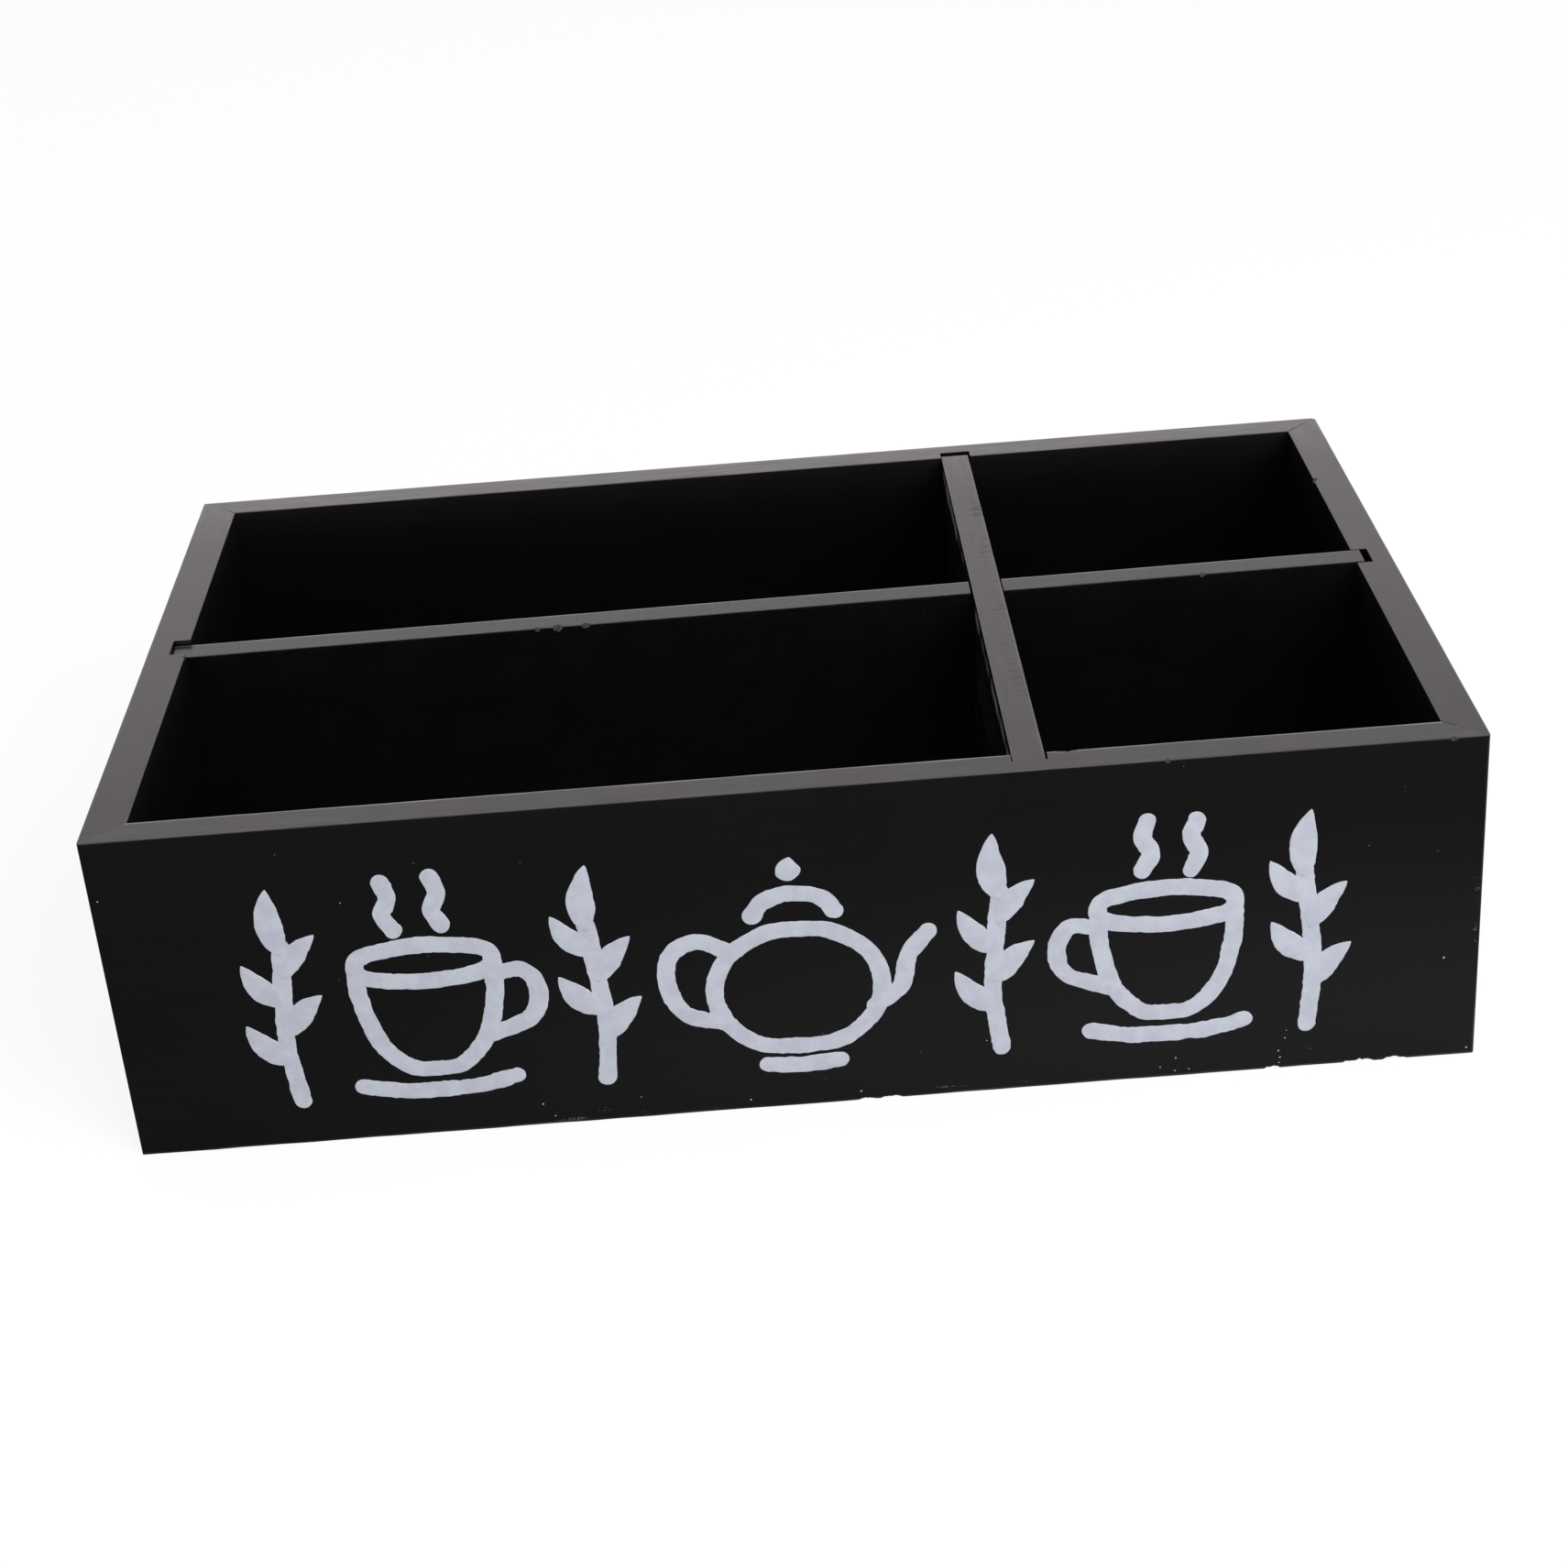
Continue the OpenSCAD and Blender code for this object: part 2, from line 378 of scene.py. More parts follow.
# A board in three stretches: before its slot or notch, in it, and after it. The masks are kept by
# the corners of the faces, so that none runs over from a face into a cut or an end.
def makeBoard(name, board, toWorld):
    ring = sectionRing(board)
    start, end = board["centre"] - board["half"], board["centre"] + board["half"]
    fine = [(chip["at"], chip["length"]/2 + division["beyondChip"]) for chip in board["chips"]]
    fine += [(cutEnd, division["besideCut"]) for cutEnd in board["cutEnds"]]
    fine += [(start, board["fineEnd"]), (end, board["fineEnd"])]
    bounds = [start, *board["cutEnds"], end]
    points, masks, rows, quads, first = [], [], [], [], 0
    for stretch in range(3):
        along = stations(bounds[stretch], bounds[stretch + 1], fine)
        placed, held = boardStretch(board, ring, along, stretch == 1)
        grid = first + np.arange(len(along)*len(ring)).reshape(len(along), len(ring))
        turned = np.roll(grid, -1, axis=1)
        first += grid.size
        points.append(placed.reshape(-1, 3))
        masks.append(held)
        rows.append(grid)
        quads.append(np.stack([grid[:-1], turned[:-1], turned[1:], grid[1:]], axis=2).reshape(-1, 4))
    points, quads = np.concatenate(points), np.concatenate(quads)
    joined = {label: np.concatenate([held[label].ravel() for held in masks]) for label in masks[0]}
    faces = quads.tolist() + flatFaces(rows, points)
    mesh = bpy.data.meshes.new(name)
    mesh.from_pydata(toWorld(points)*mm, [], faces)
    ofCorner = np.concatenate([np.array(face) for face in faces])
    for label, values in {**joined, **faceMasks(board, points)}.items():
        held = values.astype(np.float32)[ofCorner]
        held[quads.size:] = 1 if label == "sawn" else 0  # the flat faces
        mesh.attributes.new(label, "FLOAT", "CORNER").data.foreach_set("value", held)
    weldMesh(mesh)
    return addPiece(name, mesh)


# Joins points that fall together and drops the faces that this leaves without area
def weldMesh(mesh, turnOut=False):
    work = bmesh.new()
    work.from_mesh(mesh)
    bmesh.ops.remove_doubles(work, verts=work.verts, dist=division["weld"]*mm)
    bmesh.ops.dissolve_degenerate(work, edges=work.edges, dist=division["weld"]*mm)
    if turnOut:
        bmesh.ops.recalc_face_normals(work, faces=work.faces)
    work.to_mesh(mesh)
    work.free()
    mesh.shade_smooth()
    mesh.set_sharp_from_angle(angle=np.radians(division["smoothBelow"]))


def addPiece(name, mesh):
    piece = bpy.data.objects.new(name, mesh)
    bpy.context.scene.collection.objects.link(piece)
    return piece


# Small helpers for writing shader nodes
def addNode(tree, kind, **values):
    made = tree.nodes.new(kind)
    for key, value in values.items():
        setattr(made, key, value)
    return made


def feed(tree, socket, value):
    if isinstance(value, bpy.types.NodeSocket):
        tree.links.new(value, socket)
    else:
        socket.default_value = value


def calc(tree, operation, first, second):
    made = addNode(tree, "ShaderNodeMath", operation=operation)
    feed(tree, made.inputs[0], first)
    feed(tree, made.inputs[1], second)
    return made.outputs[0]


def plus(tree, first, second):
    return calc(tree, "ADD", first, second)


def times(tree, first, second):
    return calc(tree, "MULTIPLY", first, second)


def mixColour(tree, share, first, second):
    made = addNode(tree, "ShaderNodeMix", data_type="RGBA")
    feed(tree, made.inputs[0], share)
    feed(tree, made.inputs[6], first)
    feed(tree, made.inputs[7], second)
    return made.outputs[2]


def mixValue(tree, share, first, second):
    made = addNode(tree, "ShaderNodeMix", data_type="FLOAT")
    feed(tree, made.inputs[0], share)
    feed(tree, made.inputs[2], first)
    feed(tree, made.inputs[3], second)
    return made.outputs[0]


def mapRange(tree, value, fromLow, fromHigh, toLow=0.0, toHigh=1.0):
    made = addNode(tree, "ShaderNodeMapRange", interpolation_type="SMOOTHSTEP")
    for socket, number in zip(made.inputs, (value, fromLow, fromHigh, toLow, toHigh)):
        feed(tree, socket, number)
    return made.outputs[0]


# A cloudy pattern: its cells to a metre, how many finer layers it has and how strong they are
def noise(tree, vector, scale, detail, rough):
    made = addNode(tree, "ShaderNodeTexNoise")
    feed(tree, made.inputs["Vector"], vector)
    feed(tree, made.inputs["Scale"], scale)
    feed(tree, made.inputs["Detail"], detail)
    feed(tree, made.inputs["Roughness"], rough)
    return made.outputs[0]


def stretched(tree, vector, factors):
    made = addNode(tree, "ShaderNodeVectorMath", operation="MULTIPLY")
    feed(tree, made.inputs[0], vector)
    feed(tree, made.inputs[1], factors)
    return made.outputs[0]


# A bump whose height of 1 stands for the depth in millimetres. It may lie on an earlier one.
def bumped(tree, height, depth, earlier=None, sunk=False):
    made = addNode(tree, "ShaderNodeBump", invert=sunk)
    feed(tree, made.inputs["Height"], height)
    feed(tree, made.inputs["Distance"], depth*mm)
    if earlier is not None:
        feed(tree, made.inputs["Normal"], earlier)
    return made.outputs[0]


def newGroup(name, inputs, outputs):
    group = bpy.data.node_groups.new(name, "ShaderNodeTree")
    kinds = {"value": "NodeSocketFloat", "vector": "NodeSocketVector"}
    for label, kind in inputs:
        group.interface.new_socket(name=label, in_out="INPUT", socket_type=kinds[kind])
    for label in outputs:
        group.interface.new_socket(name=label, in_out="OUTPUT", socket_type=kinds["value"])
    source = addNode(group, "NodeGroupInput").outputs
    result = addNode(group, "NodeGroupOutput").inputs
    return group, source, result


def useGroup(tree, group, **values):
    made = addNode(tree, "ShaderNodeGroup", node_tree=group)
    for label, value in values.items():
        feed(tree, made.inputs[label], value)
    return made.outputs


# Painted wood grain: long soft streaks, short open pores and the fuzz of a sanded coat. The
# vector is in metres and the stretch is small along the grain.
grainLook = {
    "streaks": (900, 5, 0.6),  # a noise's cells to a metre, its layers and their strength
    "pores": (2600, 2, 0.5),
    "poresFrom": (0.60, 0.72),
    "poreDepth": -0.3,
    "speckle": (2400, 4, 0.7),
    "speckleHeight": 0.6,
    "cloud": (70, 4, 0.55),
}


def makeGrainGroup(look):
    inputs = [("Vector", "vector"), ("Stretch", "vector")]
    outputs = ["Streaks", "Pores", "Speckle", "Cloud", "Height"]
    group, source, result = newGroup("paintedGrain", inputs, outputs)
    lengthwise = stretched(group, source["Vector"], source["Stretch"])
    streaks = noise(group, lengthwise, *look["streaks"])
    pores = mapRange(group, noise(group, lengthwise, *look["pores"]), *look["poresFrom"])
    speckle = noise(group, source["Vector"], *look["speckle"])
    cloud = noise(group, source["Vector"], *look["cloud"])
    height = plus(group, streaks, times(group, pores, look["poreDepth"]))
    height = plus(group, height, times(group, speckle, look["speckleHeight"]))
    for label, value in zip(outputs, (streaks, pores, speckle, cloud, height)):
        feed(group, result[label], value)
    return group


# Worn edges: the paint thins where the worn attribute is high and two noises agree
wearLook = {
    "broad": (90, 3, 0.6),
    "broadShare": 0.9,
    "sharp": (1500, 4, 0.65),
    "sharpShare": 0.7,
    "from": (0.62, 0.95),
}


def makeWearGroup(look):
    inputs = [("Vector", "vector"), ("Worn", "value"), ("Amount", "value")]
    group, source, result = newGroup("wornEdges", inputs, ["Mask"])
    broad = times(group, noise(group, source["Vector"], *look["broad"]), look["broadShare"])
    sharp = times(group, noise(group, source["Vector"], *look["sharp"]), look["sharpShare"])
    level = times(group, source["Worn"], plus(group, broad, sharp))
    level = times(group, level, source["Amount"])
    feed(group, result["Mask"], mapRange(group, level, *look["from"]))
    return group


# Scuffs: rows of tiny pale grains where the scuffed attribute lets them through
scuffLook = {
    "smear": (1100, 4, 0.7),
    "smearShare": 0.8,
    "grains": (3400, 2, 0.6),
    "grainShare": 0.6,
    "scuffShare": 0.34,
    "from": (0.98, 1.10),
}


def makeScuffGroup(look):
    inputs = [("Vector", "vector"), ("Scuffed", "value"), ("Stretch", "vector")]
    group, source, result = newGroup("paleScuffs", inputs, ["Mask"])
    lengthwise = stretched(group, source["Vector"], source["Stretch"])
    smear = times(group, noise(group, lengthwise, *look["smear"]), look["smearShare"])
    grains = times(group, noise(group, source["Vector"], *look["grains"]), look["grainShare"])
    level = plus(group, smear, grains)
    level = plus(group, level, times(group, source["Scuffed"], look["scuffShare"]))
    feed(group, result["Mask"], mapRange(group, level, *look["from"]))
    return group


# Rubbed bands: the coat dulled and thinned in streaks along the board; the same mask paints them lighter,
# as painted sheen
rubLook = {
    "streaks": (1400, 4, 0.65),
    "streakShare": 0.6,
    "rubShare": 0.7,
    "from": (0.44, 0.80),
}


def makeRubGroup(look):
    inputs = [("Vector", "vector"), ("Rubbed", "value"), ("Stretch", "vector")]
    group, source, result = newGroup("rubbedSheenBands", inputs, ["Mask"])
    lengthwise = stretched(group, source["Vector"], source["Stretch"])
    streaks = times(group, noise(group, lengthwise, *look["streaks"]), look["streakShare"])
    level = plus(group, streaks, times(group, source["Rubbed"], look["rubShare"]))
    held = mapRange(group, level, *look["from"])
    feed(group, result["Mask"], times(group, held, source["Rubbed"]))
    return group


# Saw ticks: short fine scratches across a board's top edge, left by the blade
tickLook = {
    "lines": (1750, 2, 0.5),
    "linesFrom": (0.50, 0.62),
    "patches": (80, 4, 0.6),
    "patchesFrom": (0.34, 0.56),
}


def makeTickGroup(look):
    inputs = [("Vector", "vector"), ("Across", "vector"), ("Ticked", "value"), ("Amount", "value")]
    group, source, result = newGroup("sawTicks", inputs, ["Mask"])
    lines = noise(group, stretched(group, source["Vector"], source["Across"]), *look["lines"])
    patches = mapRange(group, noise(group, source["Vector"], *look["patches"]), *look["patchesFrom"])
    held = times(group, mapRange(group, lines, *look["linesFrom"]), times(group, patches, source["Ticked"]))
    feed(group, result["Mask"], times(group, held, source["Amount"]))
    return group


# Flecks: sparse pale specks of dust, at the points of a cell pattern that a surface passes near
fleckLook = {
    "size": (0.038, 0.022),  # of a cell: where a speck begins and where it is whole
}


def makeFleckGroup(look):
    inputs = [("Vector", "vector"), ("Cell", "value"), ("Share", "value")]
    group, source, result = newGroup("dustFlecks", inputs, ["Mask"])
    cells = addNode(group, "ShaderNodeTexVoronoi")
    feed(group, cells.inputs["Vector"], source["Vector"])
    feed(group, cells.inputs["Scale"], source["Cell"])
    speck = mapRange(group, cells.outputs["Distance"], *look["size"])
    chosen = calc(group, "LESS_THAN", cells.outputs["Color"], source["Share"])
    feed(group, result["Mask"], times(group, speck, chosen))
    return group


grainGroup = makeGrainGroup(grainLook)
wearGroup = makeWearGroup(wearLook)
scuffGroup = makeScuffGroup(scuffLook)
rubGroup = makeRubGroup(rubLook)
tickGroup = makeTickGroup(tickLook)
fleckGroup = makeFleckGroup(fleckLook)
print("node groups made")

blackPaint = {
    "deep": (0.0014, 0.0014, 0.0014, 1),
    "thin": (0.0032, 0.0029, 0.0030, 1),  # where the coat is thin along the grain
    "worn": (0.016, 0.010, 0.007, 1),
    "wood": (0.055, 0.031, 0.018, 1),
    # pale colour of the real scuffs, also used for the painted highlight along the rims' edges
    "chalkAndHighlight": (0.19, 0.195, 0.215, 1),
    # colour of the rim dust, which also paints the sheen of the rims
    "dust": (0.075, 0.071, 0.073, 1),
    # lighter colour of the inner faces just below the rim
    "faded": (0.016, 0.015, 0.015, 1),
    # colour of the rubbed bands, lightened to paint the sheen they catch at a grazing view
    "rubbedAndSheen": (0.17, 0.158, 0.150, 1),
    "flecks": (0.07, 0.07, 0.077, 1),
    "fleckCell": 170,  # cells to a metre
    "fleckShare": 0.22,
    "grainStretch": 0.07,
    "tickStretch": 0.12,
    "bareFrom": (0.25, 0.7),
    "rubAndHighlightStreaks": (0.35, 0.65, 0.3, 1.7),  # between the first two, the grain turns the third to the fourth
    "dustAndSheenGrows": (60, 96),  # the dust and painted sheen on the rims grow from the first place along y to the second, lighter towards the back
    "dustAndSheenClouds": (0.3, 0.7, 0.8, 1.2),
    "dustAndSheenStreaks": (0.32, 0.68, 0.55, 1.45),
    "gloss": 1.72,  # index of refraction of the varnish-like paint
    "sheen": (1.0, 0.975, 0.99),
    "speckle": (0.3, 0.7),
    "clouds": (0.35, 0.65),
    "blotch": 0.05,  # how much the roughness wanders over a few centimetres
    "wornDull": 0.15,  # what wear, rubbing and ticks add to the roughness
    "rubbedDull": 0.35,
    "tickDull": 0.25,
    "woodRough": 0.8,
    "bump": 0.011,
    "tickDepth": 0.034,
}


def newMaterial(name):
    material = bpy.data.materials.new(name)
    material.use_nodes = True
    tree = material.node_tree
    shader = tree.nodes["Principled BSDF"]
    where = addNode(tree, "ShaderNodeTexCoord").outputs["Object"]
    return material, tree, shader, where


def attribute(tree, name):
    return addNode(tree, "ShaderNodeAttribute", attribute_name=name).outputs["Fac"]


# Fine dust and painted sheen on the boards' upper edges, lighter towards the back, where the rims mirror
# more light
def dustAndSheenOnRims(tree, where, grain, least, most):
    start, end = blackPaint["dustAndSheenGrows"]
    split = addNode(tree, "ShaderNodeSeparateXYZ")
    feed(tree, split.inputs[0], where)
    share = mapRange(tree, split.outputs["Y"], start*mm, end*mm, least, most)
    share = times(tree, share, mapRange(tree, grain["Cloud"], *blackPaint["dustAndSheenClouds"]))
    share = times(tree, share, mapRange(tree, grain["Streaks"], *blackPaint["dustAndSheenStreaks"]))
    return times(tree, share, attribute(tree, "top"))


# Satin black paint over wood, for one board. The grain runs along x or along y.
def blackPaintMaterial(name, alongX, finish):
    paint = blackPaint
    material, tree, shader, where = newMaterial(name)
    fine, short = paint["grainStretch"], paint["tickStretch"]
    lengthwise, across = ((fine, 1, 1), (1, short, 1)) if alongX else ((1, fine, 1), (short, 1, 1))

    def effect(group, **values):
        return useGroup(tree, group, Vector=where, **values)["Mask"]

    grain = useGroup(tree, grainGroup, Vector=where, Stretch=lengthwise)
    worn = effect(wearGroup, Worn=attribute(tree, "worn"), Amount=finish["wear"])
    scuffs = effect(scuffGroup, Scuffed=attribute(tree, "scuffed"), Stretch=lengthwise)
    ticks = effect(tickGroup, Across=across, Ticked=attribute(tree, "ticked"), Amount=finish["ticks"])
    rubs = effect(rubGroup, Rubbed=attribute(tree, "rubbedAndSheen"), Stretch=lengthwise)
    flecks = effect(fleckGroup, Cell=paint["fleckCell"], Share=paint["fleckShare"])
    bare = mapRange(tree, attribute(tree, "bare"), *paint["bareFrom"])
    # dust on the rims together with painted sheen that grows towards the back
    dust = dustAndSheenOnRims(tree, where, grain, *finish["dusty"])
    # painted highlight along the rims' edges, standing in for the thin line of light they mirror, with pale
    # rubbed paint
    pale = times(tree, attribute(tree, "pale"), mapRange(tree, grain["Streaks"], *paint["rubAndHighlightStreaks"]))
    colour = mixColour(tree, grain["Streaks"], paint["deep"], paint["thin"])
    layers = ((attribute(tree, "faded"), "faded"), (dust, "dust"), (pale, "chalkAndHighlight"), (worn, "worn"),
              (rubs, "rubbedAndSheen"), (flecks, "flecks"), (scuffs, "chalkAndHighlight"), (bare, "wood"))
    for mask, tint in layers:
        colour = mixColour(tree, mask, colour, paint[tint])
    feed(tree, shader.inputs["Base Color"], colour)
    rough = mapRange(tree, grain["Speckle"], *paint["speckle"], *finish["rough"])
    blotch = mapRange(tree, grain["Cloud"], *paint["clouds"], -paint["blotch"]/2, paint["blotch"]/2)
    rough = plus(tree, rough, blotch)
    for mask, dulled in ((worn, "wornDull"), (rubs, "rubbedDull"), (ticks, "tickDull")):
        rough = plus(tree, rough, times(tree, mask, paint[dulled]))
    rough = calc(tree, "MAXIMUM", rough, times(tree, bare, paint["woodRough"]))
    cut = times(tree, attribute(tree, "sawn"), finish["cutRough"])
    feed(tree, shader.inputs["Roughness"], calc(tree, "MAXIMUM", rough, cut))
    shader.inputs["IOR"].default_value = paint["gloss"]
    shader.inputs["Specular Tint"].default_value = (*[finish["sheen"]*part for part in paint["sheen"]], 1)
    coat = bumped(tree, grain["Height"], paint["bump"])
    feed(tree, shader.inputs["Normal"], bumped(tree, ticks, paint["tickDepth"], coat, sunk=True))
    return material


# The four walls. Each is built along its own length, with its outer face at width 0. The boards aren't
# all of one thickness: "extra" is what a wall has more than the drawn one, and "behind" the same for
# the wood left behind its slot.
# A chip sits on edge 0, the lower outer one, on edge 2, the rim's inner one, or on edge 3, its outer one.
# The edge values are how much pale rubbed paint and painted highlight each of the four edges gets, the
# rim values how much dust and painted sheen the rim has in front and at the back, and "sheen" how much of
# the mirrored light it gives back.
# A joint's "seam" is how deep it has opened, from the share "seamFrom" of the thickness inwards.
joints = {
    "frontLeft": {"radius": 0.6, "seam": 0.0, "seamFrom": 0.5, "bare": 0.25},
    "frontRight": {"radius": 0.8, "seam": 0.28, "seamFrom": 0.66, "bare": 0.8},
    "backRight": {"radius": 1.9, "seam": 0.35, "seamFrom": 0.4, "bare": 0.45},
    "backLeft": {"radius": 0.8, "seam": 0.1, "seamFrom": 0.6, "bare": 0.35},
}

wallFinish = {
    "frontWall": {
        "node": "front_wall",
        "seed": 100,
        "turn": 0,
        "ends": ("frontLeft", "frontRight"),
        "extra": -0.6,
        "behind": 0,
        "slotAt": crossMiddle + 0.42,
        "wear": 0.55,
        "edgePale": (0.16, 0, 0.6, 0.12),
        "dusty": (0.15, 0.15),
        "sheen": 1.0,
        "chips": [
            {"at": 142.4, "edge": 3, "length": 1.3, "depth": 0.38, "bare": 0.3},
            {"at": 81.6, "edge": 3, "length": 1.1, "depth": 0.38, "bare": 0.0},
            {"at": 61.0, "edge": 2, "length": 5.0, "depth": 0.28, "bare": 0.0},
            {"at": 13.5, "edge": 0, "length": 4.0, "depth": 0.75, "lean": 0.3, "bare": 0.0},
            {"at": 19.0, "edge": 0, "length": 5.0, "depth": 0.85, "lean": 0.3, "bare": 0.0},
            {"at": 104.6, "edge": 0, "length": 3.6, "depth": 1.0, "lean": 0.3, "bare": 0.0},
            {"at": 124.0, "edge": 0, "length": 7.0, "depth": 1.1, "lean": 0.3, "bare": 0.0},
            {"at": 132.2, "edge": 0, "length": 5.5, "depth": 1.0, "lean": 0.3, "bare": 0.0},
        ],
        "scuffs": [  # along, height, reach along, reach up, strength
            (-51.5, 1.1, 5, 0.7, 0.80), (-45.5, 2.4, 2.4, 0.6, 0.55), (-36.5, 1.4, 2.8, 0.9, 0.66),
            (-10.7, 1.4, 2.4, 0.7, 0.62), (18.2, 2.3, 7, 0.45, 0.82), (32.1, 2, 8, 0.45, 0.80),
            (47, 1.6, 8, 0.45, 0.78), (58, 1.5, 5, 0.4, 0.70), (82.9, 2.4, 4, 1.4, 0.55),
            (123.7, 2, 5, 0.7, 0.55), (132.6, 1.9, 5, 0.6, 0.52), (146.5, 1.7, 3, 0.6, 0.58),
            (148.8, 44.8, 0.9, 3.2, 0.74), (149, 38.8, 0.8, 2.6, 0.70), (148.8, 30.9, 0.8, 2.4, 0.70),
        ],
    },
    "rightWall": {
        "node": "right_wall",
        "seed": 110,
        "turn": 90,
        "ends": ("frontRight", "backRight"),
        "extra": 0.2,
        "behind": 0.2,
        "slotAt": longMiddle - 0.15,
        "wear": 0.5,
        "edgePale": (0, 0, 0.08, 0),
        "dusty": (0.05, 0.62),
        "sheen": 0.965,
        "chips": [
            {"at": 51.2, "edge": 2, "length": 2.2, "depth": 0.9, "bare": 0.1},
        ],
    },
    "backWall": {
        "node": "back_wall",
        "seed": 120,
        "turn": 180,
        "ends": ("backRight", "backLeft"),
        "extra": -0.25,
        "behind": 0,
        "slotAt": 0.08 - crossMiddle,
        "wear": 0.6,
        "edgePale": (0, 0, 0.2, 0),
        "dusty": (0.2, 0.68),
        "sheen": 1.0,
        "scuffs": [(40, 1.0, 14, 0.7, 0.52), (-90, 1.2, 9, 0.8, 0.55)],
    },
    "leftWall": {
        "node": "left_wall",
        "seed": 130,
        "turn": 270,
        "ends": ("backLeft", "frontLeft"),
        "extra": 0.9,
        "behind": 0.65,
        "slotAt": 0.3 - longMiddle,
        "wear": 0.5,
        "edgePale": (0, 0, 0.08, 0),
        "dusty": (0.05, 0.62),
        "sheen": 0.965,
        "chips": [
            {"at": 3.7, "edge": 2, "length": 1.0, "depth": 0.5, "bare": 0.8},
        ],
    },
}

# What every board has, unless its own values say otherwise
boardBody = {
    "round": (0.4, 0.35, 0.15, 0.15),  # radius of the lower outer edge, then inner, upper inner, outer
    "roundWaver": (0.3, 7),  # how much the radius wavers, every how many millimetres
    "edgeWear": (1, 0.6, 1, 1),
    "faded": 0,
    "tickFrom": 0,
    "tickFaint": 0,
    "tickReach": 0,
    "chips": (),
    "scuffs": (),
    "rubs": (),
}
wallBody = {
    "faded": 0.4,  # how much lighter the inner faces are beside the rim, falling off downwards
    "endZone": 20,  # length that is drawn in to the mitre
    "fineEnd": 2.4,
}
dividerBody = {
    "endRound": 0.35,
    "fineEnd": 0.65,
    "cornerBare": (0, 0),
    "rubMarks": (14, 12, 10, 8.5, 7, 5.5, 4.3, 3.6, 3.1),  # rows of points below the top, for the rubbed bands and their painted sheen
}
wallPaint = {"ticks": 0.0, "rough": (0.10, 0.18), "cutRough": 0.25}
cutSide = 0.13  # from a cut's edge to the row of points beside it


# Turns a wall's own axes (along, width, height) to the box's, with the outer face outwards
def wallToWorld(turn, distance):
    angle = np.radians(turn)
    cosine, sine = np.round(np.cos(angle)), np.round(np.sin(angle))

    def place(points):
        along, inwards = points[:, 0], points[:, 1] - distance
        return np.stack([cosine*along - sine*inwards, sine*along + cosine*inwards, points[:, 2]], axis=1)

    return place


def makeWall(name, finish, meets):
    sideways = finish["turn"] in (90, 270)
    thick, floor = wallThick + finish["extra"], slotFloor + finish["behind"]
    half, distance = (boxHigh[1], boxHigh[0]) if sideways else (boxHigh[0], boxHigh[1])
    board = {
        **boardBody, **wallBody, **finish,
        "thick": thick, "low": 0.0, "high": rimHeight, "half": half, "centre": 0.0,
        "marks": [[floor - cutSide, floor], [], [thick - floor, thick - floor + cutSide], []],
        "groove": (panelLow[2], panelHigh[2], grooveFloor),
        "cutEnds": [finish["slotAt"] - slotHalf, finish["slotAt"] + slotHalf],
        "cut": lambda width, height: (np.minimum(width, floor), height),
        "endShape": mitreEnds, "joints": [joints[end] for end in finish["ends"]], "meets": meets,
        "cornerBare": [joints[end]["bare"] for end in finish["ends"]],
    }
    wall = makeBoard(name, board, wallToWorld(finish["turn"], distance))
    wall.data.materials.append(blackPaintMaterial(name + "Paint", not sideways, {**finish, **wallPaint}))
    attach(wall, "box")
    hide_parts(finish["node"])


thicks = [wallThick + finish["extra"] for finish in wallFinish.values()]
for number, (name, finish) in enumerate(wallFinish.items()):
    makeWall(name, finish, (thicks[number - 1], thicks[(number + 1) % 4]))
print("walls made")


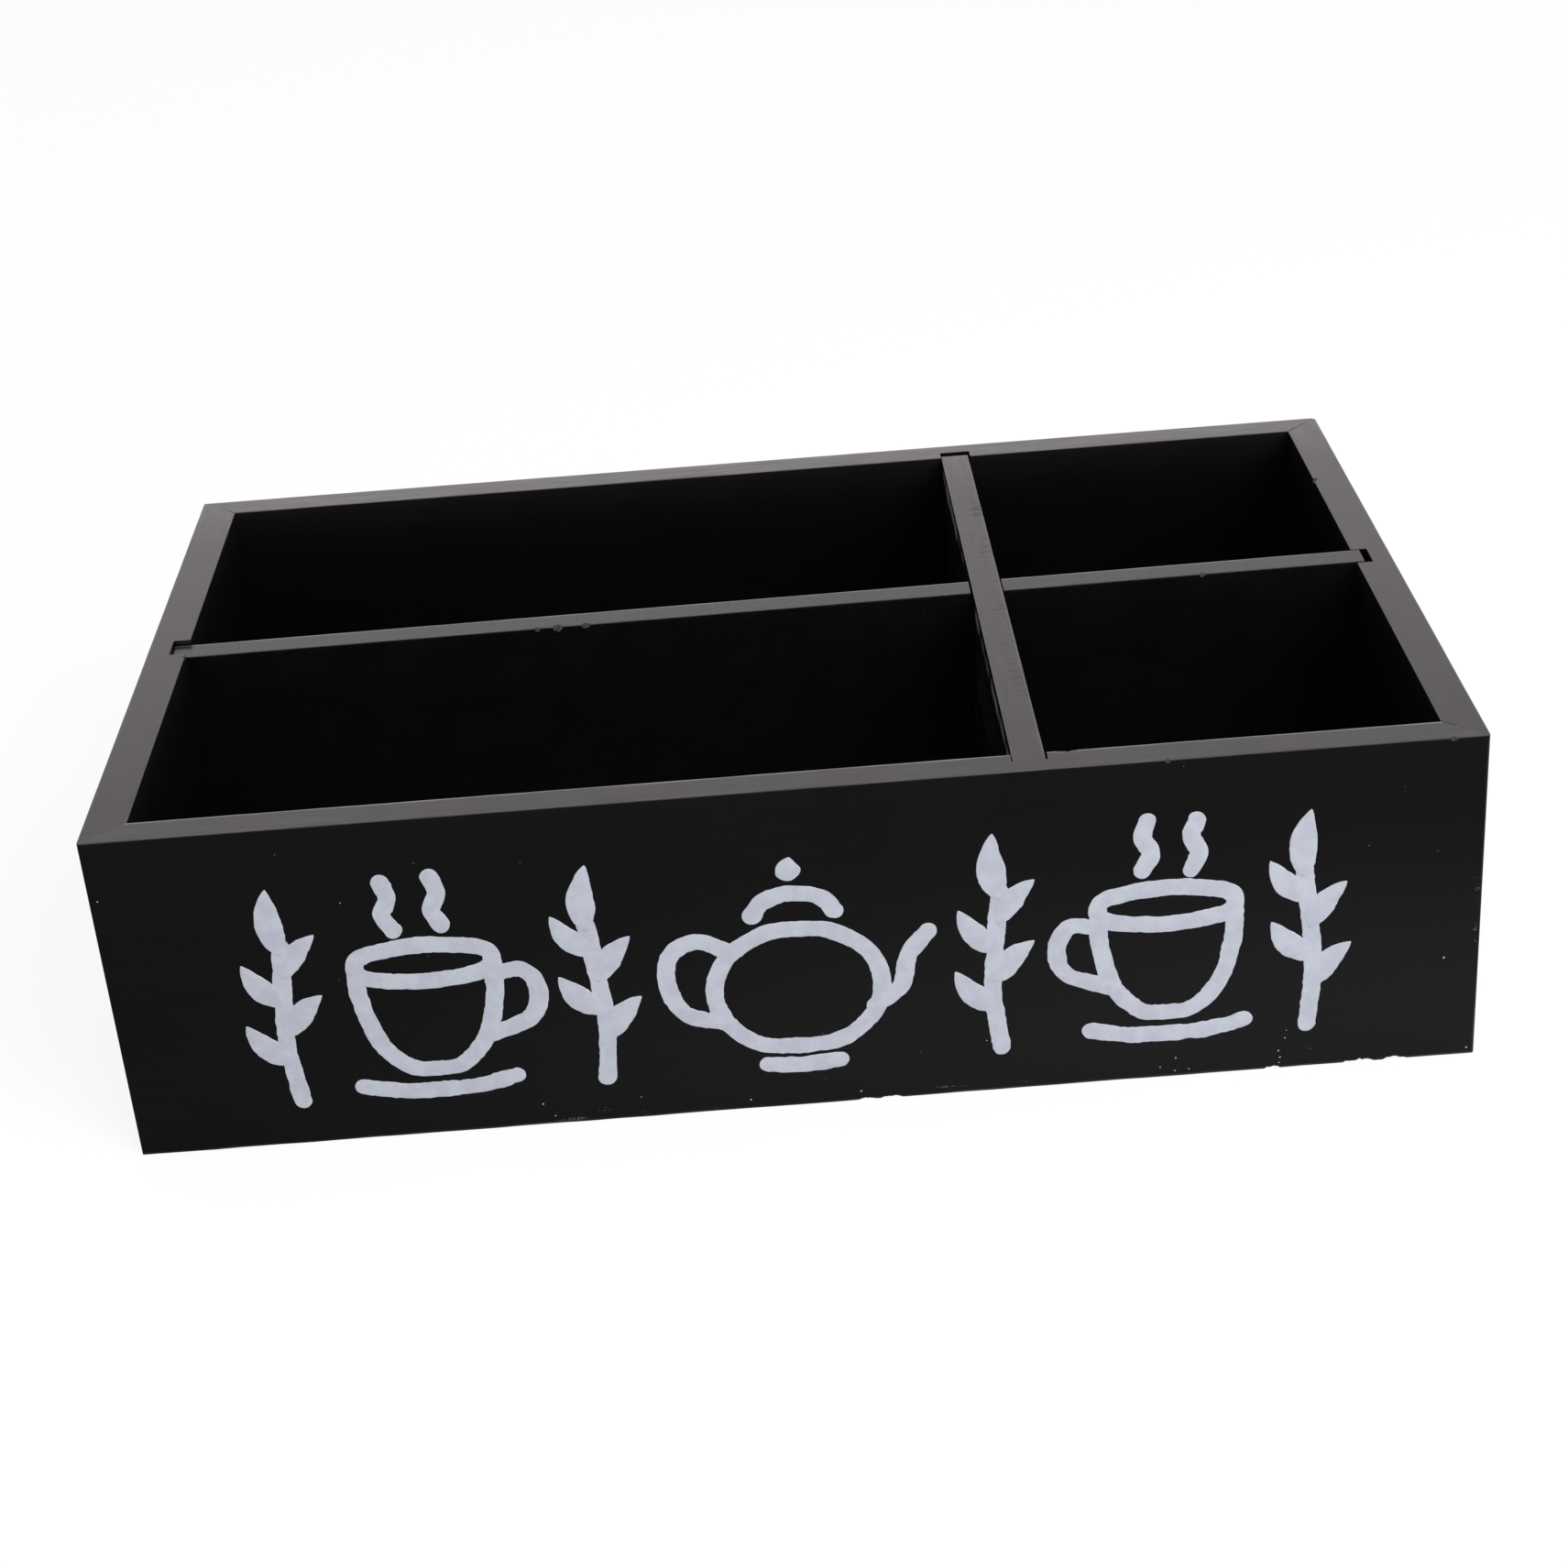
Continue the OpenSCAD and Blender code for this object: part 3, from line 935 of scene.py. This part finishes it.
# The two dividers. The long one's notch opens upwards, the cross one's opens downwards.
dividerFinish = {
    "longDivider": {
        "node": "long_divider",
        "seed": 200,
        "body": "long_divider",
        "extra": -0.25,  # what it is thicker than the drawn one
        "cutShift": -0.06,  # of its notch, from the drawn place
        "shift": -0.08,  # sideways in the slots' play, and the same for its far end over its middle
        "turn": 0.3,
        "lift": -0.33,  # of its top edge, and the same for its far end over its middle
        "tilt": 0.55,
        "wear": 0.62,
        "edgePale": (0, 0, 0.48, 0.16),
        "dusty": (0.04, 0.04),
        "sheen": 0.965,
        "edgeWear": (0.6, 0.6, 1, 1),
        "ticks": 0.3,
        "tickFrom": 1.3,
        "tickFaint": 0,
        "tickReach": 160,
        "rough": (0.20, 0.30),
        "cutRough": 0.8,
        "ends": (0.4, 0.2),  # how much shorter it is at each end than the drawn one
        "chips": [
            {"at": -51.2, "edge": 3, "length": 2.3, "depth": 1.0, "bare": 0.2},
            {"at": -44.4, "edge": 3, "length": 2.1, "depth": 0.9, "bare": 0.2},
            {"at": -56.1, "edge": 3, "length": 1.2, "depth": 0.6, "bare": 0.1},
            {"at": 104.1, "edge": 3, "length": 1.3, "depth": 0.7, "bare": 0.1},
        ],
    },
    "crossDivider": {
        "node": "cross_divider",
        "seed": 210,
        "body": "cross_divider",
        "extra": 0.12,
        "cutShift": 0,
        "shift": 0.05,
        "turn": -0.3,
        "wear": 0.72,
        "edgePale": (0, 0, 0.05, 0.12),
        "dusty": (0.12, 0.6),
        "sheen": 1.0,
        "edgeWear": (0.6, 0.6, 1.15, 1),
        "ticks": 1.0,
        "tickFrom": 0.62,
        "tickFaint": 0.2,
        "tickReach": 72,
        # rubbed paint on the left face below the top, painted lighter as painted sheen; the last oval is a
        # broad soft painted glow
        "rubs": [  # along, height, reach along, reach up, strength
            (-80, 76.2, 9, 2.0, 0.85), (-66, 76.3, 9, 2.0, 0.85), (-53, 76.0, 8, 2.1, 0.92),
            (-45, 75.9, 5, 1.9, 0.90), (-33, 76.0, 7, 1.8, 0.72), (-23, 76.2, 6, 1.9, 0.76),
            (-10, 76.4, 7, 2.1, 0.95), (27, 77.2, 6, 1.6, 0.62), (36, 77.0, 5, 1.5, 0.64),
            (46, 76.4, 6, 2.4, 0.95), (56, 76.8, 7, 2.4, 0.90), (68, 76.6, 9, 2.6, 0.95),
            (79, 77.2, 5, 2.0, 0.80), (0, 62.0, 90, 26, 0.34),
        ],
        "rough": (0.15, 0.26),
        "cutRough": 0.8,
    },
}


def makeDivider(name, finish, lengthwise):
    low, high = longLow[2], longHigh[2]
    thick = dividerThick + finish["extra"]
    if lengthwise:
        start, end = longLow[0] + finish["ends"][0], longHigh[0] - finish["ends"][1]
        cutAt = crossMiddle + finish["cutShift"]
        notch = lapHeight - fits["notchGap"]/2
        beside = notch - cutSide
        cut = lambda width, height: (width, np.minimum(height, notch))

        def toWorld(points):
            share = points[:, 0]/longHigh[0]
            turned = longMiddle + finish["shift"] + finish["turn"]*share + points[:, 1] - thick/2
            raised = (finish["lift"] + finish["tilt"]*share)*(points[:, 2] - low)/(high - low)
            return np.stack([points[:, 0], turned, points[:, 2] + raised], axis=1)
    else:
        start, end, cutAt = crossLow[1], crossHigh[1], longMiddle + finish["cutShift"]
        notch = lapHeight + fits["notchGap"]/2
        beside = notch + cutSide
        cut = lambda width, height: (width, np.maximum(height, notch))

        def toWorld(points):
            share = points[:, 0]/crossHigh[1]
            turned = crossMiddle + finish["shift"] + finish["turn"]*share + thick/2 - points[:, 1]
            return np.stack([turned, points[:, 0], points[:, 2]], axis=1)

    rubMarks = [high - low - depth for depth in dividerBody["rubMarks"]]
    board = {
        **boardBody, **dividerBody, **finish,
        "thick": thick, "low": low, "high": high,
        "half": (end - start)/2, "centre": (start + end)/2,
        "marks": [[], [notch - low, beside - low, *rubMarks], [], [high - notch, high - beside]],
        "cutEnds": [cutAt - notchHalf, cutAt + notchHalf], "cut": cut, "endShape": squareEnds,
    }
    divider = makeBoard(name, board, toWorld)
    divider.data.materials.append(blackPaintMaterial(name + "Paint", lengthwise, finish))
    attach(divider, finish["body"])
    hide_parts(finish["node"])


makeDivider("longDivider", dividerFinish["longDivider"], True)
makeDivider("crossDivider", dividerFinish["crossDivider"], False)
print("dividers made")


# The painted row on the front: sprigs, two cups and a pot, as brush strokes of one width.
# Places are along and up from the foot of each motif's middle line.
frontMotif = {
    "halfWidth": 2.05,  # of a stroke
    "rise": 0.06,  # of the paint over the board
    "layer": 0.009,  # what each layer adds to that
    "sink": 0.05,  # of its underside into the board
    "step": 0.45,  # between the points along a stroke
    "curveSteps": 24,  # points of a curve between two of its given ones, before the even sampling
    "endAngles": (90, 75, 60, 45, 30, 15),  # where the round end of a stroke has its points
    "leafSteps": 30,
    "leafBend": 0.07,  # of its length
    "leafSwell": (0.8, 0.75),  # the first moves a leaf's widest place, the second fills it out
    "waves": ((0.17, 3.1), (0.12, 0.9)),  # how much an edge wavers, every how many millimetres
    "across": (-1, -0.95, -0.5, 0.5, 0.95, 1),  # the points across a ribbon, as shares of its half width
    "shoulder": 0.75,  # height beside its edges, as a share of the height in its middle
    "speckSlant": 0.3,
    "speckWidth": 0.7,
    "strokeSeed": 500,
    "leafSeed": 900,
    "speckSeed": 1300,
    "foot": 11.5,  # height of the row over the table
    "colour": (0.54, 0.565, 0.64, 1),
    "shadeColour": (0.48, 0.50, 0.58, 1),
    "mottle": (260, 4, 0.6),
    "mottleFrom": (0.35, 0.65),
    "grainStretch": (0.2, 1, 1),
    "poreShare": 0.08,
    "rough": (0.5, 0.68),
    "bump": 0.01,
    "row": [
        ("sprig", -112.5, 1), ("cup", -81, 1), ("sprig", -43.5, -1), ("pot", 0, 1),
        ("sprig", 43.5, 1), ("cup", 81, -1), ("sprig", 112.5, -1),
    ],
}

motifStrokes = {
    "cup": [
        [(-15, 33), (-14.6, 24), (-12, 14), (-6.5, 7.2), (0, 5.8), (6.5, 7.2), (12, 14), (14.6, 24),
         (15, 33)],
        [(-15, 33.2), (-14, 35.4), (-10, 36.8), (0, 37.8), (10, 36.8), (14, 35.4), (15, 33.2), (14, 31),
         (10, 29.6), (0, 28.6), (-10, 29.6), (-14, 31), (-15, 33.2)],
        [(14.6, 29), (21, 29.6), (24.2, 24.5), (22, 17.5), (12.4, 13.5)],
        [(-17, 2.4), (-9, 0.6), (0, 0.2), (9, 0.6), (17, 2.4)],
        [(-5.5, 42), (-7.2, 46), (-5.6, 50), (-6.6, 54)],
        [(5, 42.5), (3.4, 46.5), (5, 50.5), (4, 54.5)],
    ],
    "pot": [
        [(0, 4.4), (-10, 6), (-16.6, 12.5), (-18.4, 20), (-15.5, 28), (-8, 33.4), (0, 34.6), (8, 33.4),
         (15.5, 28), (18.4, 20), (16.6, 12.5), (10, 6), (0, 4.4)],
        [(-9, 38.6), (-6.4, 42), (0, 43.6), (6.4, 42), (9, 38.6)],
        [(16.6, 13.5), (22.5, 18), (24.6, 26), (29, 31.5)],
        [(-14.6, 30), (-21.5, 33.2), (-27.6, 30), (-28.6, 22), (-24.8, 14.6), (-17.2, 12.2)],
        [(-8, 0), (0, -0.6), (8, 0)],
    ],
    "sprig": [
        [(0.5, 0), (-0.8, 14), (0.2, 28), (1.4, 40)],
    ],
}

motifLeaves = {  # foot of the leaf, tip of the leaf, widest half width
    "cup": [],
    "pot": [((0, 46.8), (0, 52.6), 2.9)],
    "sprig": [
        ((-0.6, 10), (-9, 20.5), 2.9), ((-0.4, 17), (8.6, 27), 2.9),
        ((0.1, 25), (-7.8, 36), 2.8), ((0.8, 32), (9, 42.4), 2.7), ((1.3, 38), (0.2, 54.5), 3.1),
    ],
}

paintSpecks = [  # stray specks of the pale paint: along, up, size
    (-87.6, 59.8, 0.24), (-96.7, 61.3, 0.15), (142.2, 25.9, 0.26), (-148, 66.2, 0.17), (-59, 5.6, 0.2),
    (-56.6, 2.2, 0.16), (-37, 5.5, 0.13), (-12.6, 2.5, 0.2), (12.2, 2.5, 0.23), (40.8, 13.4, 0.13),
    (82.9, 4.9, 0.2), (79.4, 2.7, 0.16), (82.7, 1.5, 0.16), (85.8, 1.7, 0.14), (105.9, 4.7, 0.2),
    (106.3, 2.9, 0.2), (106.1, 1.5, 0.17), (107.3, 8, 0.15), (107.6, 10, 0.12), (148.2, 1.7, 0.2),
]


# A smooth curve through the points: each stretch is the Catmull-Rom cubic of its four neighbours,
# then the whole is sampled again at even steps
def smoothPath(points, closed, values):
    held = np.array(points, float)
    before, after = (held[-2], held[1]) if closed else (2*held[0] - held[1], 2*held[-1] - held[-2])
    held = np.concatenate([[before], held, [after]])
    share = np.linspace(0, 1, values["curveSteps"], endpoint=False)[:, None]
    before, start, end, after = held[:-3, None], held[1:-2, None], held[2:-1, None], held[3:, None]
    curve = 0.5*(2*start + (end - before)*share + (2*before - 5*start + 4*end - after)*share**2
                 + (3*start - before - 3*end + after)*share**3)
    curve = np.concatenate([curve.reshape(-1, 2), held[-2:-1]])
    length = np.concatenate([[0], np.cumsum(np.linalg.norm(np.diff(curve, axis=0), axis=1))])
    even = np.linspace(0, length[-1], max(int(length[-1]/values["step"]), 3) + 1)
    return np.stack([np.interp(even, length, curve[:, k]) for k in range(2)], axis=1), even


# A brush stroke: a low dome carried along the path. Its two edges waver on their own, and its
# half width closes along a quarter circle at each end, unless the path comes back to its start.
def brushStroke(points, seed, layer, values):
    half = values["halfWidth"]
    closed = np.allclose(points[0], points[-1])
    path, even = smoothPath(points, closed, values)
    if closed:
        whole = np.full(len(even) - 1, half)
        return ribbon(path[:-1], even[:-1], whole, seed, layer, values, turn=even[-1])
    first, last = path[0] - path[1], path[-1] - path[-2]
    first, last = first/np.linalg.norm(first), last/np.linalg.norm(last)
    beyond = half*np.sin(np.radians(values["endAngles"]))
    path = np.concatenate([path[0] + beyond[:, None]*first, path, path[-1] + beyond[::-1, None]*last])
    along = np.concatenate([-beyond, even, even[-1] + beyond[::-1]])
    past = np.maximum(-along, along - even[-1]).clip(0, half)
    width = half*np.sqrt(np.clip(1 - (past/half)**2, 0, 1))
    return ribbon(path, along, width, seed, layer, values)


# A leaf: a dab from foot to tip, whose half width follows the sine of the way along it
def leafDab(foot, tip, widest, seed, layer, values):
    foot, tip = np.array(foot, float), np.array(tip, float)
    share = (1 - np.cos(np.linspace(0, np.pi, values["leafSteps"])))/2
    sideways = np.array([-(tip - foot)[1], (tip - foot)[0]])
    bend = values["leafBend"]*np.sin(np.pi*share)[:, None]*sideways
    path = foot + share[:, None]*(tip - foot) + bend
    along = share*np.linalg.norm(tip - foot)
    shift, fill = values["leafSwell"]
    width = widest*np.sin(np.pi*share**shift)**fill
    return ribbon(path, along, width, seed, layer, values)


# Points and faces of a closed ribbon: six points across, its underside sunk into the board. Each
# layer of paint lies a little higher than the one before. A round ribbon joins its own start, so
# its edges' waver fades into that of one turn before.
def ribbon(path, along, width, seed, layer, values, turn=0):
    if turn:
        heading = np.roll(path, -1, axis=0) - np.roll(path, 1, axis=0)
    else:
        heading = np.gradient(path, axis=0)
    heading /= np.linalg.norm(heading, axis=1)[:, None]
    across = np.stack([-heading[:, 1], heading[:, 0]], axis=1)
    body = np.clip(width/values["halfWidth"], 0, 1)
    edges = []
    for number in (0, 2):
        wave = ragged(along, seed + number, values)
        if turn:
            share = along/turn
            wave = wave*(1 - share) + ragged(along - turn, seed + number, values)*share
        edges.append(width + body*wave)
    leftEdge, rightEdge = edges
    shares = np.array(values["across"])
    rise = values["rise"] + layer*values["layer"]
    half = [-values["sink"], values["shoulder"]*rise, rise]
    lift = np.array(half + half[::-1])
    offset = np.where(shares < 0, shares*leftEdge[:, None], shares*rightEdge[:, None])
    flat = path[:, None, :] + offset[:, :, None]*across[:, None, :]
    outwards = np.broadcast_to(lift, offset.shape)
    points = np.stack([flat[:, :, 0], -outwards, flat[:, :, 1]], axis=2)
    rows = np.arange(offset.size).reshape(offset.shape)
    ends = [] if turn else [rows[0].tolist(), rows[-1][::-1].tolist()]
    rows = np.concatenate([rows, rows[:1]]) if turn else rows
    turned = np.roll(rows, -1, axis=1)
    quads = np.stack([rows[:-1], turned[:-1], turned[1:], rows[1:]], axis=2).reshape(-1, 4)
    return points.reshape(-1, 3), quads.tolist() + ends


# Uneven edge of a brush stroke, slow and quick wavers together
def ragged(along, seed, values):
    (slow, slowStep), (quick, quickStep) = values["waves"]
    return slow*waver(along, slowStep, seed) + quick*waver(along, quickStep, seed + 1)


# The rest of a painted or sanded surface: its roughness follows the grain's speckle, its normal the grain
def finishSurface(tree, shader, grain, values):
    rough = mapRange(tree, grain["Speckle"], *blackPaint["speckle"], *values["rough"])
    feed(tree, shader.inputs["Roughness"], rough)
    feed(tree, shader.inputs["Normal"], bumped(tree, grain["Height"], values["bump"]))


def motifMaterial(values):
    material, tree, shader, where = newMaterial("paleBrushPaint")
    grain = useGroup(tree, grainGroup, Vector=where, Stretch=values["grainStretch"])
    mottled = mapRange(tree, noise(tree, where, *values["mottle"]), *values["mottleFrom"])
    colour = mixColour(tree, mottled, values["shadeColour"], values["colour"])
    pores = times(tree, grain["Pores"], values["poreShare"])
    feed(tree, shader.inputs["Base Color"], mixColour(tree, pores, colour, blackPaint["worn"]))
    finishSurface(tree, shader, grain, values)
    return material


# The strokes and leaves of one motif. Each stroke has seeds of its own, four apart.
def motifParts(number, kind, middle, facing, values):
    place = np.array([middle, values["foot"]])
    parts = []
    for k, stroke in enumerate(motifStrokes[kind]):
        held = np.array(stroke, float)*(facing, 1) + place
        parts.append(brushStroke(held, values["strokeSeed"] + 40*number + 4*k, k, values))
    for k, (foot, tip, widest) in enumerate(motifLeaves[kind]):
        foot, tip = np.array(foot)*(facing, 1) + place, np.array(tip)*(facing, 1) + place
        parts.append(leafDab(foot, tip, widest, values["leafSeed"] + 40*number + 4*k, 6 + k, values))
    return parts


def makeMotif(values):
    parts = []
    for number, (kind, middle, facing) in enumerate(values["row"]):
        parts += motifParts(number, kind, middle, facing, values)
    for k, (along, up, size) in enumerate(paintSpecks):
        rise = values["speckSlant"]*size
        foot, tip = (along - size, up - rise), (along + size, up + rise)
        parts.append(leafDab(foot, tip, values["speckWidth"]*size, values["speckSeed"] + 4*k, 0, values))
    faces, first = [], 0
    for part, quads in parts:
        faces += [[index + first for index in face] for face in quads]
        first += len(part)
    points = np.concatenate([part for part, quads in parts])
    points[:, 1] += boxLow[1]
    mesh = bpy.data.meshes.new("frontMotif")
    mesh.from_pydata(points*mm, [], faces)
    weldMesh(mesh, turnOut=True)
    motif = addPiece("frontMotif", mesh)
    motif.data.materials.append(motifMaterial(values))
    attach(motif, "box")


makeMotif(frontMotif)
print("front motif made")


# The bottom panel and the brads keep their own shapes and get a finish
panelFinish = {
    "deep": (0.0060, 0.0058, 0.0056, 1),
    "thin": (0.0140, 0.0125, 0.0115, 1),
    "clouds": (60, 4, 0.6),
    "grainStretch": (0.15, 1, 1),
    "poreShare": 0.5,
    "rough": (0.48, 0.62),
    "bump": 0.01,
}


def panelMaterial(values):
    material, tree, shader, where = newMaterial("panelPaint")
    grain = useGroup(tree, grainGroup, Vector=where, Stretch=values["grainStretch"])
    colour = mixColour(tree, noise(tree, where, *values["clouds"]), values["deep"], values["thin"])
    pores = times(tree, grain["Pores"], values["poreShare"])
    feed(tree, shader.inputs["Base Color"], mixColour(tree, pores, colour, blackPaint["worn"]))
    finishSurface(tree, shader, grain, values)
    return material


bradFinish = {
    "bright": (0.62, 0.62, 0.64, 1),
    "dull": (0.34, 0.32, 0.31, 1),
    "drawn": (6000, 3, 0.6),
    "drawnFrom": (0.3, 0.7),
    "drawnStretch": (0.05, 1, 1),
    "tarnish": (700, 3, 0.6),
    "tarnishFrom": (0.5, 0.7),
    "rough": (0.28, 0.46),
}


def bradMaterial(values):
    material, tree, shader, where = newMaterial("bradSteel")
    drawn = noise(tree, stretched(tree, where, values["drawnStretch"]), *values["drawn"])
    tarnish = mapRange(tree, noise(tree, where, *values["tarnish"]), *values["tarnishFrom"])
    feed(tree, shader.inputs["Base Color"], mixColour(tree, tarnish, values["bright"], values["dull"]))
    feed(tree, shader.inputs["Roughness"], mapRange(tree, drawn, *values["drawnFrom"], *values["rough"]))
    shader.inputs["Metallic"].default_value = 1
    return material


def dress(nodes, material):
    for node in nodes:
        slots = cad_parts[node].data.materials
        slots.clear()
        slots.append(material)


dress(["bottom_panel"], panelMaterial(panelFinish))
dress([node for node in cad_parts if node.endswith("_brads")], bradMaterial(bradFinish))
print("panel and brads finished")


# The studio: a pale floor, an even white sky and one soft lamp from the front right
studio = {
    "floorReach": 6000,
    "floorPale": (0.96, 0.96, 0.962, 1),
    "floorGlow": 0.86,
    "floorPaintedShade": (0.064, 0.064, 0.064, 1),  # painted shade: the darker floor that only reflections and bounce light see beside the box
    "floorPaintedPool": (0.163, 0.163, 0.165, 1),  # painted pool of light close to the front, brighter than that, seen the same way
    "poolAt": (110, -93),
    "poolReach": (320, 125),
    "whiteFrom": (620, 480),  # from here outwards the paint mirrors the floor as white as it looks
    "whiteSoft": (0.8, 1.0),  # the shares of that reach between which the floor turns white
    "skyFill": 0.78,
    "skyHigh": 0.72,  # what the paint mirrors overhead; near the horizon it mirrors white
    "skyTurns": (0.34, 0.50),  # the heights of a unit sky between which it dims
    "skyTint": (1.0, 0.94, 0.98, 1),
    "lampPlace": (620, -900, 820),
    "lampTarget": (60, -90, 30),
    "lampSize": 900,
    "lampPower": 16,
}


# How far out a point of the floor lies, as a share of an oval's reach
def ringDistance(tree, middle, reach):
    centred = addNode(tree, "ShaderNodeVectorMath", operation="SUBTRACT")
    feed(tree, centred.inputs[0], addNode(tree, "ShaderNodeTexCoord").outputs["Object"])
    feed(tree, centred.inputs[1], (middle[0]*mm, middle[1]*mm, 0))
    length = addNode(tree, "ShaderNodeVectorMath", operation="LENGTH")
    feed(tree, length.inputs[0], stretched(tree, centred.outputs[0], (1/(reach[0]*mm), 1/(reach[1]*mm), 0)))
    return length.outputs["Value"]


def addFloor(values):
    reach = values["floorReach"]*mm
    mesh = bpy.data.meshes.new("studioFloor")
    corners = [(-reach, -reach, 0), (reach, -reach, 0), (reach, reach, 0), (-reach, reach, 0)]
    mesh.from_pydata(corners, [], [(0, 1, 2, 3)])
    floor = addPiece("studioFloor", mesh)
    material = bpy.data.materials.new("studioFloorPale")
    material.use_nodes = True
    tree = material.node_tree
    tree.nodes.remove(tree.nodes["Principled BSDF"])
    path = addNode(tree, "ShaderNodeLightPath").outputs
    pale = addNode(tree, "ShaderNodeBsdfDiffuse")
    pale.inputs["Color"].default_value = values["floorPale"]
    glow = addNode(tree, "ShaderNodeEmission")
    glow.inputs["Strength"].default_value = 1.0
    seen = addNode(tree, "ShaderNodeMixShader")
    seen.inputs[0].default_value = values["floorGlow"]
    # painted pool of light on the floor, brighter near the box's front right, seen only by reflections and
    # bounce light
    away = mapRange(tree, ringDistance(tree, values["poolAt"], values["poolReach"]), 0.0, 1.0)
    other = addNode(tree, "ShaderNodeBsdfDiffuse")
    feed(tree, other.inputs["Color"], mixColour(tree, away, values["floorPaintedPool"], values["floorPaintedShade"]))
    white = mapRange(tree, ringDistance(tree, (0, 0), values["whiteFrom"]), *values["whiteSoft"])
    mirrored = times(tree, path["Is Glossy Ray"], white)
    shown = calc(tree, "MAXIMUM", path["Is Camera Ray"], path["Is Transmission Ray"])
    shown = calc(tree, "MAXIMUM", shown, mirrored)
    choice = addNode(tree, "ShaderNodeMixShader")
    tree.links.new(pale.outputs[0], seen.inputs[1])
    tree.links.new(glow.outputs[0], seen.inputs[2])
    tree.links.new(shown, choice.inputs[0])
    tree.links.new(other.outputs[0], choice.inputs[1])
    tree.links.new(seen.outputs[0], choice.inputs[2])
    tree.links.new(choice.outputs[0], tree.nodes["Material Output"].inputs["Surface"])
    floor.data.materials.append(material)


def addSky(values):
    world = bpy.data.worlds.new("studioSky")
    bpy.context.scene.world = world
    world.use_nodes = True
    tree = world.node_tree
    tree.nodes.clear()
    path = addNode(tree, "ShaderNodeLightPath").outputs
    upwards = addNode(tree, "ShaderNodeSeparateXYZ")
    feed(tree, upwards.inputs[0], addNode(tree, "ShaderNodeTexCoord").outputs["Generated"])
    high = mapRange(tree, upwards.outputs["Z"], *values["skyTurns"], 1.0, values["skyHigh"])
    seen = calc(tree, "MAXIMUM", path["Is Camera Ray"], path["Is Transmission Ray"])
    level = mixValue(tree, path["Is Glossy Ray"], mixValue(tree, seen, values["skyFill"], 1.0), high)
    background = addNode(tree, "ShaderNodeBackground")
    tint = mixColour(tree, path["Is Glossy Ray"], (1, 1, 1, 1), values["skyTint"])
    feed(tree, background.inputs["Color"], tint)
    feed(tree, background.inputs["Strength"], level)
    output = addNode(tree, "ShaderNodeOutputWorld")
    tree.links.new(background.outputs[0], output.inputs["Surface"])


def addLamp(values):
    data = bpy.data.lights.new("softLamp", "AREA")
    data.shape = "DISK"
    data.size = values["lampSize"]*mm
    data.energy = values["lampPower"]
    lamp = bpy.data.objects.new("softLamp", data)
    bpy.context.scene.collection.objects.link(lamp)
    place, target = np.array(values["lampPlace"]), np.array(values["lampTarget"])
    away = (place - target)/np.linalg.norm(place - target)
    sideways = np.cross((0, 0, 1), away)
    sideways /= np.linalg.norm(sideways)
    turn = Matrix(np.stack([sideways, np.cross(away, sideways), away], axis=1).tolist()).to_4x4()
    lamp.matrix_world = Matrix.Translation(place*mm) @ turn
    lamp.visible_glossy = False  # the gloss mirrors only the sky and the floor


addFloor(studio)
addSky(studio)
addLamp(studio)
bpy.context.scene.view_settings.view_transform = "Standard"
print("studio made")
